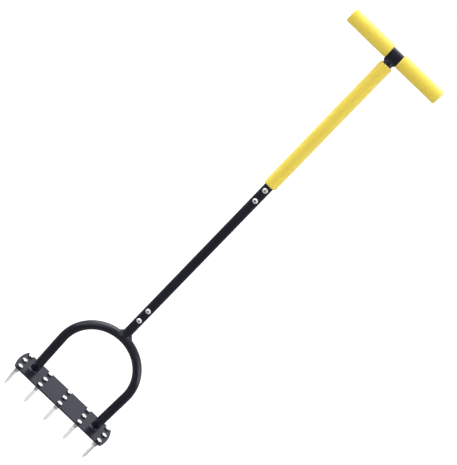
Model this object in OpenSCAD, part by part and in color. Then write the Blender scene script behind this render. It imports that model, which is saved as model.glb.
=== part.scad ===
// Lawn aerator fork: a step-on aerator with fifteen spikes under a plate, an arch for the foot,
// a bolted three-piece shaft and a T handle in foam.
// Frame: +Z up the shaft, X along the plate and the crossbar, joint bolt heads on the -Y side.
// Origin: bottom centre, on the level of the spike tips. All lengths are in millimetres.

/* [Base plate] */
// Length of the plate over its bowed ends
plate_l = 242; // [238:1:260]
// Depth of the plate from front to rear
plate_d = 80; // [78:1:100]
// Thickness of the plate
plate_t = 3; // [2:0.5:5]
// How far each end bows out between its corners
end_bow = 6; // [3:0.5:12]
// Radius of the plate's corners
corner_r = 8; // [4:0.5:10]

/* [Spikes] */
// Spacing of the spike columns along the plate
column_pitch = 53.5; // [48:0.5:54]
// Spacing of the spike rows across the plate
row_pitch = 30; // [26:0.5:30]
// How far the middle row's end spikes follow the bowed ends outwards
end_shift = 2.5; // [0:0.5:3]
// Length of a spike below the plate
spike_l = 47; // [40:1:80]
// Diameter of the spike's shank
shank_d = 6; // [5:0.5:7]
// Length of the ground point
point_l = 8; // [6:1:18]
// Diameter of the blunt tip
tip_d = 2.2; // [1:0.1:3]
// Width of the hexagonal collar under the plate, across its flats
collar_af = 8; // [8:0.5:12]
// Height of the collar
collar_h = 10; // [6:0.5:14]
// Diameter over the threads of the stud that passes the plate
stud_d = 5.8; // [5:0.1:5.8]
// Width of the thin nut on the stud, across its flats
thin_nut_af = 10; // [9:0.5:13]
// Height of the thin nut
thin_nut_h = 3.2; // [2.5:0.1:5]

/* [Arch] */
// Radius of the arch, to the middle of its tube
arch_r = 86; // [80:1:90]
// Height of the arch's centre over the plate
arch_rise = 97; // [80:1:120]
// Lean of each leg, inwards at the foot
leg_lean = 1.5; // [0:0.5:3]

/* [Shaft] */
// Outside diameter of the shaft and arch tubes
tube_d = 19; // [18:0.5:20]
// Wall of every tube
tube_wall = 1.5; // [1.2:0.1:2]
// Height of the lowest joint bolt over the spike tips
lower_bolt_z = 286; // [275:1:300]
// Height of the upper joint's lower bolt
upper_bolt_z = 617; // [560:1:640]
// Spacing of the two bolts in a joint
bolt_pitch = 27; // [22:1:32]
// Length of socket past the outer bolt of a joint
socket_end = 15; // [12:1:20]

/* [Handle] */
// Height of the crossbar's axis over the spike tips
handle_z = 979; // [900:1:1050]
// Outside diameter of the crossbar tube
crossbar_d = 22; // [22:0.5:25]
// Length of the crossbar over its plugs
crossbar_l = 213; // [180:1:260]
// Bare length of crossbar between the two hand grips
bare_l = 25; // [24:1:40]
// Outside diameter of the hand grips
hand_grip_d = 28; // [27:0.5:34]
// Outside diameter of the stem grip
stem_grip_d = 27; // [25:0.5:32]
// Height of the stem grip's lower end
stem_grip_z = 655; // [652:1:700]
// Length of the stem grip
stem_grip_l = 303; // [150:1:303]
// Rounding of the foam's end edges
foam_round = 2.5; // [1:0.5:2.5]

/* [Fasteners] */
// Diameter of the joint bolts
bolt_d = 6; // [5:0.5:6]
// Length of the joint bolts under the head
bolt_l = 30; // [27:1:35]
// Diameter of the button heads
head_d = 10.5; // [9:0.5:11]
// Height of the button heads
head_h = 3.3; // [2.8:0.1:3.5]
// Width of the lock nuts across their flats
lock_nut_af = 10; // [9:0.5:11]
// Height of the lock nuts
lock_nut_h = 6; // [5:0.5:8]

/* [Hidden] */
$fn = 64;
ROWS = ["front", "middle", "rear"];
COLUMN_COUNT = 5;

plate_z = spike_l + plate_t;
tube_r = tube_d / 2;
bore_r = tube_r - tube_wall;
crossbar_r = crossbar_d / 2;
arch_z = plate_z + arch_rise;
crest_z = arch_z + arch_r;
bend_thinning = 0.1;
leg_lap = 0.3;
leg_top_x = arch_r * cos(leg_lean);
leg_top_z = arch_z - arch_r * sin(leg_lean);

// The lower socket ends above its bolts, the upper one below its bolts
lower_joint_z = lower_bolt_z + bolt_pitch + socket_end;
upper_joint_z = upper_bolt_z - socket_end;
lower_bolts = [lower_bolt_z, lower_bolt_z + bolt_pitch];
upper_bolts = [upper_bolt_z, upper_bolt_z + bolt_pitch];

// Swaged ends of the middle tube, with room to slide into the sockets
slide_gap = 0.05;
swage_r = bore_r - slide_gap;
swage_neck = 2;
bolt_hole_r = bolt_d / 2 + 0.2;
spike_hole_r = 3.2;
nut_bore_r = 3;

// Circle of a bowed end, and the corner circle that runs into it and into the long edge
bow_r = (pow(plate_d / 2, 2) + pow(end_bow, 2)) / (2 * end_bow);
bow_x = plate_l / 2 - bow_r;
corner_y = plate_d / 2 - corner_r;
corner_x = bow_x + sqrt(pow(bow_r - corner_r, 2) - pow(corner_y, 2));
bow_angle = atan2(corner_y, corner_x - bow_x);

// Welds
leg_weld_w = 3;
stub_weld_w = 6;
stub_weld_h = 9;
stub_weld_drop = 6;
crossbar_weld_w = 3.5;
crossbar_weld_h = 6;
crossbar_weld_foot = 3;
weld_slab = 22;

// Plugs in the crossbar
plug_flange = 2;
plug_l = 12;
plug_gap = 0.1;

// Edges of hexagons, studs and heads
hex_clear = 0.1;
stud_rise = 0.5;
edge = 0.5;
socket_af = 4;
socket_depth = 2;
head_rim = 0.5;
head_top_r = 2.9;
lock_collar_h = 1.4;
lock_collar_r = 4.4;

// Colours
STEEL_BLACK = "#202024";
PLATE_GREY = "#4b4d57";
ZINC = "#c9ccd2";
FOAM_YELLOW = "#efd95f";
PLUG_BLACK = "#18181a";

function spike_name(row, column) = str("spike_", ROWS[row], "_", column + 1);
function end_sign(column) = column == 0 ? -1 : column == COLUMN_COUNT - 1 ? 1 : 0;
function spike_x(row, column) =
    (column - (COLUMN_COUNT - 1) / 2) * column_pitch + (row == 1 ? end_shift * end_sign(column) : 0);
function spike_y(row) = (row - 1) * row_pitch;
// Each hexagon ends its tightening at its own angle
function hex_turn(row, column) = (row * 37 + column * 23 + 11) % 60;

// ---- shared shapes ----

// Hexagonal prism with bevelled corners on the chosen ends
module hexagon(af, h, bevel_low, bevel_high) {
    corner = af / 2 / cos(30);
    outer = corner + hex_clear;
    bevel_h = (outer - af / 2) * tan(30);
    low_edge = bevel_low ? [[af / 2, 0], [outer, bevel_h]] : [[outer, 0]];
    high_edge = bevel_high ? [[outer, h - bevel_h], [af / 2, h]] : [[outer, h]];
    intersection() {
        cylinder(r = corner, h = h, $fn = 6);
        rotate_extrude() polygon(concat([[0, 0]], low_edge, high_edge, [[0, h]]));
    }
}

module pipe(r, h) {
    difference() {
        cylinder(r = r, h = h);
        translate([0, 0, -1]) cylinder(r = r - tube_wall, h = h + 2);
    }
}

module along_x() {
    rotate([0, 90, 0]) children();
}

// Puts its children on a bolt axis, with +Z towards the head side
module on_bolt_axis(z) {
    translate([0, 0, z]) rotate([90, 0, 0]) children();
}

module bolt_holes(heights) {
    for (z = heights)
        on_bolt_axis(z) translate([0, 0, -tube_d]) cylinder(r = bolt_hole_r, h = 2 * tube_d);
}

// ---- base plate ----

// What the rounding takes away at the corner in the +X +Y quarter
module corner_waste() {
    translate([corner_x, corner_y, spike_l - 1]) linear_extrude(plate_t + 2) difference() {
        polygon([
            [0, 0], [0, plate_d], [plate_d, plate_d],
            [plate_d * cos(bow_angle), plate_d * sin(bow_angle)]
        ]);
        circle(r = corner_r);
    }
}

module base_plate() {
    color(PLATE_GREY) difference() {
        intersection() {
            translate([-plate_l, -plate_d / 2, spike_l]) cube([2 * plate_l, plate_d, plate_t]);
            translate([bow_x, 0, spike_l]) cylinder(r = bow_r, h = plate_t);
            translate([-bow_x, 0, spike_l]) cylinder(r = bow_r, h = plate_t);
        }
        for (side = [0, 1], front = [0, 1])
            mirror([side, 0, 0]) mirror([0, front, 0]) corner_waste();
        for (row = [0 : len(ROWS) - 1], column = [0 : COLUMN_COUNT - 1])
            translate([spike_x(row, column), spike_y(row), spike_l - 1])
                cylinder(r = spike_hole_r, h = plate_t + 2);
    }
}

// ---- spikes and their nuts ----

module spike(row, column) {
    stud_top = plate_z + thin_nut_h + stud_rise;
    color(ZINC) translate([spike_x(row, column), spike_y(row), 0]) {
        rotate_extrude($fn = 32) polygon([
            [0, 0], [tip_d / 2, 0], [shank_d / 2, point_l], [shank_d / 2, spike_l - collar_h / 2],
            [stud_d / 2, spike_l - collar_h / 2], [stud_d / 2, stud_top - edge],
            [stud_d / 2 - edge, stud_top], [0, stud_top]
        ]);
        translate([0, 0, spike_l - collar_h]) rotate(hex_turn(row, column))
            hexagon(collar_af, collar_h, true, false);
    }
}

module row_nuts(row) {
    color(ZINC) for (column = [0 : COLUMN_COUNT - 1])
        translate([spike_x(row, column), spike_y(row), plate_z]) difference() {
            rotate(hex_turn(column, row)) hexagon(thin_nut_af, thin_nut_h, true, true);
            translate([0, 0, -1]) cylinder(r = nut_bore_r, h = thin_nut_h + 2);
        }
}

// ---- arch ----

// Bar of the arch, slightly thinner in its bend than in the legs, which run on below the plate's top
module arch_bar(r) {
    translate([0, 0, arch_z]) rotate([90, 0, 0]) rotate(-leg_lean)
        rotate_extrude(angle = 180 + 2 * leg_lean, $fn = 120)
            translate([arch_r, 0]) circle(r = r - bend_thinning);
    for (side = [-1, 1])
        translate([side * leg_top_x, 0, leg_top_z]) rotate([0, 180 + side * leg_lean, 0])
            translate([0, 0, -leg_lap]) cylinder(r = r, h = arch_rise + leg_lap);
}

module arch_tube() {
    color(STEEL_BLACK) difference() {
        arch_bar(tube_r);
        arch_bar(bore_r);
        translate([-plate_l, -plate_d, plate_z - arch_rise]) cube([2 * plate_l, 2 * plate_d, arch_rise]);
    }
}

module leg_weld(side) {
    foot_x = leg_top_x - (leg_top_z - plate_z) * tan(leg_lean);
    color(STEEL_BLACK) difference() {
        translate([side * foot_x, 0, plate_z])
            cylinder(r1 = tube_r + leg_weld_w, r2 = tube_r + edge, h = leg_weld_w);
        arch_bar(tube_r);
    }
}

// ---- shaft ----

module socket_stub() {
    color(STEEL_BLACK) difference() {
        translate([0, 0, crest_z]) pipe(tube_r, lower_joint_z - crest_z);
        arch_bar(tube_r);
        bolt_holes(lower_bolts);
    }
}

module stub_weld() {
    top_z = crest_z + tube_r + stub_weld_h;
    low_z = crest_z + tube_r - stub_weld_drop;
    color(STEEL_BLACK) difference() {
        intersection() {
            translate([0, 0, low_z])
                cylinder(r1 = tube_r + stub_weld_w + edge, r2 = tube_r + edge, h = top_z - low_z);
            translate([0, 0, low_z]) cube([4 * tube_d, weld_slab, 4 * tube_d], center = true);
        }
        arch_bar(tube_r);
        translate([0, 0, crest_z]) cylinder(r = tube_r, h = lower_joint_z - crest_z);
    }
}

module middle_tube() {
    low = lower_bolt_z - socket_end;
    high = upper_bolt_z + bolt_pitch + socket_end;
    color(STEEL_BLACK) difference() {
        rotate_extrude() polygon([
            [swage_r - tube_wall, low], [swage_r, low], [swage_r, lower_joint_z],
            [tube_r - edge, lower_joint_z], [tube_r, lower_joint_z + edge],
            [tube_r, upper_joint_z - edge], [tube_r - edge, upper_joint_z],
            [swage_r, upper_joint_z], [swage_r, high], [swage_r - tube_wall, high],
            [swage_r - tube_wall, upper_joint_z - swage_neck], [bore_r, upper_joint_z - 2 * swage_neck],
            [bore_r, lower_joint_z + 2 * swage_neck], [swage_r - tube_wall, lower_joint_z + swage_neck]
        ]);
        bolt_holes(lower_bolts);
        bolt_holes(upper_bolts);
    }
}

module handle_tube() {
    color(STEEL_BLACK) difference() {
        translate([0, 0, upper_joint_z]) pipe(tube_r, handle_z - upper_joint_z);
        translate([-crossbar_l / 2, 0, handle_z]) along_x() cylinder(r = crossbar_r, h = crossbar_l);
        bolt_holes(upper_bolts);
    }
}

// ---- handle ----

module crossbar_tube() {
    tube_l = crossbar_l - 2 * plug_flange;
    color(STEEL_BLACK) translate([-tube_l / 2, 0, handle_z]) along_x() pipe(crossbar_r, tube_l);
}

module crossbar_weld() {
    low_z = handle_z - crossbar_r - crossbar_weld_h;
    weld_h = crossbar_weld_h + crossbar_weld_w;
    color(STEEL_BLACK) difference() {
        intersection() {
            translate([0, 0, low_z]) rotate_extrude() polygon([
                [0, 0], [tube_r + edge, 0], [bare_l / 2 - edge, crossbar_weld_foot],
                [bare_l / 2 - edge, weld_h], [0, weld_h]
            ]);
            translate([0, 0, low_z]) cube([4 * tube_d, weld_slab - 2, 4 * tube_d], center = true);
        }
        translate([-crossbar_l / 2, 0, handle_z]) along_x() cylinder(r = crossbar_r, h = crossbar_l);
        translate([0, 0, low_z - 1]) cylinder(r = tube_r, h = weld_h + 2);
    }
}

// Foam sleeve along +Z with rounded end edges
module foam_sleeve(bore, d, l) {
    wide = d / 2 - bore;
    rotate_extrude() translate([bore, 0]) {
        square([wide - foam_round, l]);
        translate([0, foam_round]) square([wide, l - 2 * foam_round]);
        for (z = [foam_round, l - foam_round]) translate([wide - foam_round, z]) intersection() {
            circle(r = foam_round);
            translate([0, -foam_round]) square(2 * foam_round);
        }
    }
}

module stem_grip() {
    color(FOAM_YELLOW) translate([0, 0, stem_grip_z]) foam_sleeve(tube_r, stem_grip_d, stem_grip_l);
}

module hand_grip(side) {
    color(FOAM_YELLOW) translate([side * bare_l / 2, 0, handle_z]) rotate([0, side * 90, 0])
        foam_sleeve(crossbar_r, hand_grip_d, (crossbar_l - bare_l) / 2);
}

module end_plug(side) {
    color(PLUG_BLACK) translate([side * crossbar_l / 2, 0, handle_z]) rotate([0, -side * 90, 0])
        rotate_extrude() polygon([
            [0, 0], [crossbar_r - edge, 0], [crossbar_r, edge], [crossbar_r, plug_flange],
            [crossbar_r - tube_wall - plug_gap, plug_flange],
            [crossbar_r - tube_wall - plug_gap, plug_flange + plug_l - edge],
            [crossbar_r - tube_wall - plug_gap - edge, plug_flange + plug_l], [0, plug_flange + plug_l]
        ]);
}

// ---- joint bolts and lock nuts ----

module button_bolt() {
    // Sphere through the rim's upper edge and the edge of the flat top
    centre = (pow(head_top_r, 2) + pow(head_h, 2) - pow(head_d / 2, 2) - pow(head_rim, 2))
        / (2 * (head_h - head_rim));
    dome_r = sqrt(pow(head_d / 2, 2) + pow(head_rim - centre, 2));
    difference() {
        union() {
            intersection() {
                cylinder(d = head_d, h = head_h);
                translate([0, 0, centre]) sphere(r = dome_r);
            }
            translate([0, 0, -bolt_l]) cylinder(d1 = bolt_d - 2 * edge, d2 = bolt_d, h = edge);
            translate([0, 0, edge - bolt_l]) cylinder(d = bolt_d, h = bolt_l);
        }
        translate([0, 0, head_h - socket_depth])
            cylinder(r = socket_af / 2 / cos(30), h = socket_depth + 1, $fn = 6);
    }
}

module lock_nut() {
    hex_h = lock_nut_h - lock_collar_h;
    difference() {
        union() {
            hexagon(lock_nut_af, hex_h, true, true);
            translate([0, 0, hex_h - edge]) cylinder(r = lock_collar_r, h = edge + lock_collar_h / 2);
            translate([0, 0, hex_h + lock_collar_h / 2])
                cylinder(r1 = lock_collar_r, r2 = lock_collar_r - lock_collar_h / 2, h = lock_collar_h / 2);
        }
        translate([0, 0, -1]) cylinder(r = nut_bore_r + slide_gap, h = lock_nut_h + 2);
    }
}

module joint_bolts(heights) {
    color(ZINC) for (z = heights)
        on_bolt_axis(z) translate([0, 0, tube_r]) rotate(z) button_bolt();
}

module joint_nuts(heights) {
    color(ZINC) for (z = heights)
        on_bolt_axis(z) translate([0, 0, -tube_r]) mirror([0, 0, 1]) rotate(z) lock_nut();
}

// ---- assembly ----

base_plate();
for (row = [0 : len(ROWS) - 1], column = [0 : COLUMN_COUNT - 1])
    spike(row, column);
for (row = [0 : len(ROWS) - 1])
    row_nuts(row);
arch_tube();
leg_weld(-1);  // left_leg_weld
leg_weld(1);  // right_leg_weld
socket_stub();
stub_weld();
middle_tube();
handle_tube();
crossbar_tube();
crossbar_weld();
joint_bolts(lower_bolts);  // lower_joint_bolts
joint_nuts(lower_bolts);  // lower_joint_nuts
joint_bolts(upper_bolts);  // upper_joint_bolts
joint_nuts(upper_bolts);  // upper_joint_nuts
stem_grip();
hand_grip(-1);  // left_grip
hand_grip(1);  // right_grip
end_plug(-1);  // left_end_plug
end_plug(1);  // right_end_plug
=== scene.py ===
"""Looks of the lawn aerator fork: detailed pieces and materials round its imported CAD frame.

Everything is in metres, in the frame of the CAD: +Z up the shaft, X along the plate and the crossbar,
the heads of the joint bolts on the -Y side, and the spike tips on z = 0.
"""
import math

import bmesh
import bpy
import numpy as np
from mathutils import Matrix, Vector, noise


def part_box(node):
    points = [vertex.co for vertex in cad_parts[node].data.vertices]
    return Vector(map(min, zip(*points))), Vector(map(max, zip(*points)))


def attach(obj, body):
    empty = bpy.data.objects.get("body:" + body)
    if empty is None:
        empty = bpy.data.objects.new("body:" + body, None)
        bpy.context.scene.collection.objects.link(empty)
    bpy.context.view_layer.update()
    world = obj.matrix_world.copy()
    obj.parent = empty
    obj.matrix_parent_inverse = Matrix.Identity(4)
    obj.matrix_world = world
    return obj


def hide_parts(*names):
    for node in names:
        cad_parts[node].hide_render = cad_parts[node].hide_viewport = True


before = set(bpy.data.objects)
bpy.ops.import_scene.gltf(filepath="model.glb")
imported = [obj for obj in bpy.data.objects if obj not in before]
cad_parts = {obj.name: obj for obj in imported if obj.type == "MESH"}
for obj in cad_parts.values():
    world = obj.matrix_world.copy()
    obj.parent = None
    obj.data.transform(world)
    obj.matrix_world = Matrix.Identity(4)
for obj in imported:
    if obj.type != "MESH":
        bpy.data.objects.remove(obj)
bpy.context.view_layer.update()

MM = 0.001
COS_30, TAN_30 = math.cos(math.radians(30)), math.tan(math.radians(30))
ROWS = ("front", "middle", "rear")
COLUMNS = 5
SIDES = ((-1, "left"), (1, "right"))

# Angles in degrees above which an edge between two faces stays sharp, and widths of softened edges
SHARP = 35
SHARP_PLATE = 50
SHARP_SOFT_PIECE = 60
HEX_BEVEL = 0.12 * MM
HEAD_BEVEL = 0.08 * MM

# ---- sizes read from the CAD frame ----


def size_of(node):
    """Lengths of a CAD node's box along X, Y and Z."""
    low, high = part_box(node)
    return high - low


def centre_of(node):
    """Middle of a CAD node's box."""
    low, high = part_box(node)
    return (low + high) / 2


TUBE_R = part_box("middle_tube")[1].x
TUBE_WALL = 1.5 * MM
PLATE_LOW, PLATE_TOP = (corner.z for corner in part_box("base_plate"))
CREST_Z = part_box("socket_stub")[0].z
LOWER_JOINT_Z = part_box("socket_stub")[1].z
UPPER_JOINT_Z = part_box("handle_tube")[0].z
ARCH_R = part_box("arch_tube")[1].x - TUBE_R
ARCH_Z = CREST_Z - ARCH_R
LEG_LEAN = math.radians(1.5)
HANDLE_Z = centre_of("crossbar_tube").z
CROSSBAR_R = size_of("crossbar_tube").z / 2

# ---- mesh helpers ----


def ring(angles, radius, z):
    """Points round the Z axis; the radius and the height may change with the angle."""
    return np.stack(np.broadcast_arrays(radius * np.cos(angles), radius * np.sin(angles), z), -1)


def circle_angles(count):
    """Equally spaced angles once round, without the last that would repeat the first."""
    return np.linspace(0, 2 * math.pi, count, endpoint=False)


def lathe(profile, count=64):
    """Rings of a turned shape through the (r, z) points of its profile."""
    angles = circle_angles(count)
    return [ring(angles, r, z) for r, z in profile]


def rounded(corners, closed=False, steps=5):
    """A profile through (r, z) corners; a corner's third number is the radius that rounds it."""
    points, count = [], len(corners)
    for i, corner in enumerate(corners):
        here = np.array(corner[:2], float)
        radius = corner[2] if len(corner) > 2 else 0
        if radius == 0 or (not closed and i in (0, count - 1)):
            points.append(here)
            continue
        back = np.array(corners[i - 1][:2], float) - here
        ahead = np.array(corners[(i + 1) % count][:2], float) - here
        back, ahead = back / np.linalg.norm(back), ahead / np.linalg.norm(ahead)
        half = math.acos(np.clip(back @ ahead, -1, 1)) / 2
        bisector = (back + ahead) / np.linalg.norm(back + ahead)
        centre = here + bisector * radius / math.sin(half)
        first = here + back * radius / math.tan(half) - centre
        last = here + ahead * radius / math.tan(half) - centre
        sweep = math.atan2(first[0] * last[1] - first[1] * last[0], first @ last)
        for step in range(steps + 1):
            c, s = math.cos(sweep * step / steps), math.sin(sweep * step / steps)
            turned = (c * first[0] - s * first[1], s * first[0] + c * first[1])
            points.append(centre + np.array(turned))
    return points


def skin(rings, closed=False, material=None):
    """Vertices, faces and a material number for each face, over a stack of equal rings.

    A closed stack joins its last ring to its first; an open one is capped at both ends. material gives
    the number for each span between two rings.
    """
    rings = np.asarray(rings, float)
    layers, around = rings.shape[:2]
    spans = layers if closed else layers - 1
    faces, numbers = [], []
    for i in range(spans):
        a, b = i * around, (i + 1) % layers * around
        for j in range(around):
            k = (j + 1) % around
            faces.append((a + j, a + k, b + k, b + j))
            numbers.append(material[i] if material else 0)
    if not closed:
        last = (layers - 1) * around
        faces += [tuple(reversed(range(around))), tuple(range(last, last + around))]
        numbers += [numbers[0], numbers[-1]]
    return rings.reshape(-1, 3), faces, numbers


def placed(part, matrix):
    """The same part, moved by a 4x4 matrix."""
    points, faces, numbers = part
    m = np.array(matrix)
    return points @ m[:3, :3].T + m[:3, 3], faces, numbers


def joined(parts):
    """Several parts as one."""
    points, faces, numbers, start = [], [], [], 0
    for more, its_faces, its_numbers in parts:
        points.append(more)
        faces += [tuple(v + start for v in face) for face in its_faces]
        numbers += its_numbers
        start += len(more)
    return np.concatenate(points), faces, numbers


# Corners closer than this are merged
SAME_POINT = 1e-7


def piece(name, part, materials, node, sharp=SHARP, bevel=0.0):
    """Makes the object that is seen in place of a CAD node."""
    points, faces, numbers = part
    mesh = bpy.data.meshes.new(name)
    mesh.from_pydata(points.tolist(), [], faces)
    for material in materials:
        mesh.materials.append(material)
    mesh.polygons.foreach_set("material_index", numbers)
    tidy = bmesh.new()
    tidy.from_mesh(mesh)
    bmesh.ops.remove_doubles(tidy, verts=tidy.verts, dist=SAME_POINT)
    bmesh.ops.recalc_face_normals(tidy, faces=tidy.faces)
    tidy.to_mesh(mesh)
    tidy.free()
    obj = bpy.data.objects.new(name, mesh)
    bpy.context.scene.collection.objects.link(obj)
    return dressed(obj, node, sharp, bevel)


def dressed(obj, node, sharp=SHARP, bevel=0.0):
    """Shades a piece, softens its hard edges if asked and hands it to the frame."""
    mesh = obj.data
    mesh.polygons.foreach_set("use_smooth", [True] * len(mesh.polygons))
    mesh.set_sharp_from_angle(angle=math.radians(sharp))
    if bevel:
        soft = obj.modifiers.new("soft_edges", "BEVEL")
        soft.width, soft.segments, soft.limit_method = bevel, 2, "ANGLE"
        soft.angle_limit = math.radians(sharp)
        soft.harden_normals = False
    even = obj.modifiers.new("even_faces", "WEIGHTED_NORMAL")
    even.keep_sharp = True
    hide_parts(node)
    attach(obj, "root")
    return obj


# Turns +Z to -Y, which is where a joint bolt's head points, and +Z to +Y
ALONG_MINUS_Y = Matrix.Rotation(math.radians(90), 4, "X")
ALONG_Y = Matrix.Rotation(math.radians(-90), 4, "X")


def along_x(side):
    """Turns +Z to +X for side 1 and to -X for side -1."""
    return Matrix.Rotation(side * math.radians(90), 4, "Y")


def bolt_heights(node):
    """Heights of the two bolts in a joint's node."""
    low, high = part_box(node)
    head_r = (high.x - low.x) / 2
    return low.z + head_r, high.z - head_r


BOLT_HOLE_R = 3.2 * MM
DRILL_REACH = 4 * TUBE_R


def drilled(obj, *nodes):
    """Drills a tube along Y where the bolts of these joints pass it, for good."""
    for z in [z for node in nodes for z in bolt_heights(node)]:
        rod = skin(lathe([(BOLT_HOLE_R, -DRILL_REACH), (BOLT_HOLE_R, DRILL_REACH)], 32))
        points, faces, _ = placed(rod, Matrix.Translation((0, 0, z)) @ ALONG_MINUS_Y)
        mesh = bpy.data.meshes.new("drill")
        mesh.from_pydata(points.tolist(), [], faces)
        drill = bpy.data.objects.new("drill", mesh)
        bpy.context.scene.collection.objects.link(drill)
        hole = obj.modifiers.new("hole", "BOOLEAN")
        hole.object, hole.operation, hole.solver = drill, "DIFFERENCE", "EXACT"
        obj.modifiers.move(len(obj.modifiers) - 1, 0)
        bpy.context.view_layer.objects.active = obj
        with bpy.context.temp_override(object=obj, active_object=obj):
            bpy.ops.object.modifier_apply(modifier="hole")
        bpy.data.objects.remove(drill)
    obj.data.set_sharp_from_angle(angle=math.radians(SHARP))


# ---- hexagons and threads ----

CORNER_ROUND = 0.35 * MM
FLAT_STEPS = 8
# Radius of the bevel cone where it meets a hexagon's end, as a share of half the flats
CONE_SHARE = 0.99


def hex_angles(flats):
    """Angles for a hexagon's rings: along each flat, and closer together round each corner."""
    bend = corner_turn(flats)
    found = []
    for corner in range(6):
        at = math.radians(60 * corner)
        found += [at + bend * t for t in (-1, -0.5, 0, 0.5, 1)]
        edge = math.radians(60) - 2 * bend
        found += [at + bend + edge * step / FLAT_STEPS for step in range(1, FLAT_STEPS)]
    return np.array(found)


def corner_turn(flats):
    """Half the angle that a hexagon's rounded corner takes up, seen from the middle."""
    inset = (flats / 2 - CORNER_ROUND) / COS_30
    return math.atan2(CORNER_ROUND / 2, inset + CORNER_ROUND * COS_30)


def hex_reach(angles, flats):
    """Distance from the middle to a hexagon's outline, with rounded corners."""
    off_corner = (angles + math.radians(30)) % math.radians(60) - math.radians(30)
    off_flat = math.radians(30) - np.abs(off_corner)
    inset = (flats / 2 - CORNER_ROUND) / COS_30
    arc = inset * np.cos(off_corner) + np.sqrt(
        np.maximum(CORNER_ROUND**2 - (inset * np.sin(off_corner)) ** 2, 0))
    return np.where(np.abs(off_corner) <= corner_turn(flats) + 1e-9, arc, flats / 2 / np.cos(off_flat))


def hexagon(angles, flats, low, high, bevel_low=True, bevel_high=True):
    """Rings of a hexagonal prism whose corners are bevelled by a cone at the chosen ends."""
    reach = hex_reach(angles, flats)
    cone_r = flats / 2 * CONE_SHARE
    drop = (reach - cone_r) * TAN_30
    rings = []
    if bevel_low:
        rings.append(ring(angles, cone_r, low))
    rings.append(ring(angles, reach, low + (drop if bevel_low else 0)))
    rings.append(ring(angles, reach, high - (drop if bevel_high else 0)))
    if bevel_high:
        rings.append(ring(angles, cone_r, high))
    return rings


PITCH = 1.0 * MM
THREAD_DEPTH = 0.54 * PITCH
RINGS_PER_TURN = 8
# The groove's profile over one pitch: its height in the middle before it is cut flat, and its slope
GROOVE_PEAK, GROOVE_SLOPE = 1.25, 3.2
# How long the thread takes to reach full depth, and its share of that depth at its low and high end
RUN_IN = 0.6 * PITCH
LOW_DEPTH, HIGH_DEPTH = 0.05, 0.25


def thread(angles, radius, low, high):
    """Rings of a screw thread that gets shallow at both ends."""
    count = max(4, round((high - low) / PITCH * RINGS_PER_TURN))
    rings = []
    for z in np.linspace(low, high, count + 1):
        phase = (z / PITCH - angles / (2 * math.pi)) % 1
        groove = np.clip(GROOVE_PEAK - np.abs(phase - 0.5) * GROOVE_SLOPE, 0, 1)
        fade = min(1, (z - low) / RUN_IN + LOW_DEPTH, (high - z) / RUN_IN + HIGH_DEPTH)
        rings.append(ring(angles, radius - THREAD_DEPTH * groove * fade, z))
    return rings


# ---- materials ----


class Look:
    """A Principled material and short ways to add texture nodes to it.

    Colours are linear, and texture scales are in features per metre.
    """

    def __init__(self, name, **values):
        """values are constants for the shader's own sockets."""
        self.material = bpy.data.materials.new(name)
        self.material.use_nodes = True
        self.tree = self.material.node_tree
        self.shader = self.tree.nodes["Principled BSDF"]
        for socket, value in values.items():
            self.shader.inputs[socket.replace("_", " ")].default_value = value
        self.where = self.node("ShaderNodeTexCoord").outputs["Object"]
        self.normal = None

    def node(self, kind, links=(), **values):
        """A node with its properties and, in links, what each input socket gets."""
        made = self.tree.nodes.new(kind)
        for key, value in values.items():
            setattr(made, key, value)
        for socket, source in dict(links).items():
            if isinstance(source, bpy.types.NodeSocket):
                self.tree.links.new(source, made.inputs[socket])
            else:
                made.inputs[socket].default_value = source
        return made

    def stretched(self, scale):
        """The object's own coordinates, scaled differently along each axis."""
        return self.node("ShaderNodeMapping", {"Vector": self.where, "Scale": scale}).outputs["Vector"]

    def noise(self, scale, detail=3.0, where=None, roughness=0.5):
        """Soft noise from 0 to 1."""
        links = {"Vector": where or self.where, "Scale": scale, "Detail": detail, "Roughness": roughness}
        return self.node("ShaderNodeTexNoise", links).outputs["Fac"]

    def cells(self, scale):
        """Distance to the middle of the nearest cell of a random pattern."""
        links = {"Vector": self.where, "Scale": scale}
        return self.node("ShaderNodeTexVoronoi", links).outputs["Distance"]

    def between(self, value, low, high, new_low=0.0, new_high=1.0):
        """The value stretched from one range to another and held inside it."""
        links = {"Value": value, "From Min": low, "From Max": high,
                 "To Min": new_low, "To Max": new_high}
        return self.node("ShaderNodeMapRange", links).outputs["Result"]

    def blend(self, factor, first, second):
        """A colour between two, each a constant or another node's output."""
        made = self.node("ShaderNodeMix", data_type="RGBA")
        self.tree.links.new(factor, made.inputs["Factor"])
        colour_a, colour_b, result = made.inputs[6], made.inputs[7], made.outputs[2]
        for socket, source in ((colour_a, first), (colour_b, second)):
            if isinstance(source, bpy.types.NodeSocket):
                self.tree.links.new(source, socket)
            else:
                socket.default_value = (*source, 1)
        return result

    def drive(self, socket, source):
        """Feeds one of the shader's sockets."""
        self.tree.links.new(source, self.shader.inputs[socket])

    def bump(self, height, distance, strength):
        """Adds relief on top of what is there."""
        links = {"Height": height, "Distance": distance, "Strength": strength}
        if self.normal:
            links["Normal"] = self.normal
        self.normal = self.node("ShaderNodeBump", links).outputs["Normal"]
        self.drive("Normal", self.normal)


def gloss_paint(name, dark, light, rough, specular, tint):
    """Gloss powder coat: a slow drift of shade, an uneven shine and a fine orange peel."""
    look = Look(name, Specular_IOR_Level=specular, Specular_Tint=(*tint, 1))
    drift = look.noise(14.0)
    look.drive("Base Color", look.blend(look.between(drift, 0.35, 0.65), dark, light))
    smear = look.noise(45.0, detail=4.0)
    look.drive("Roughness", look.between(smear, 0.3, 0.7, *rough))
    look.bump(look.noise(520.0, detail=2.0), 0.06 * MM, 0.5)
    return look.material


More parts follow.
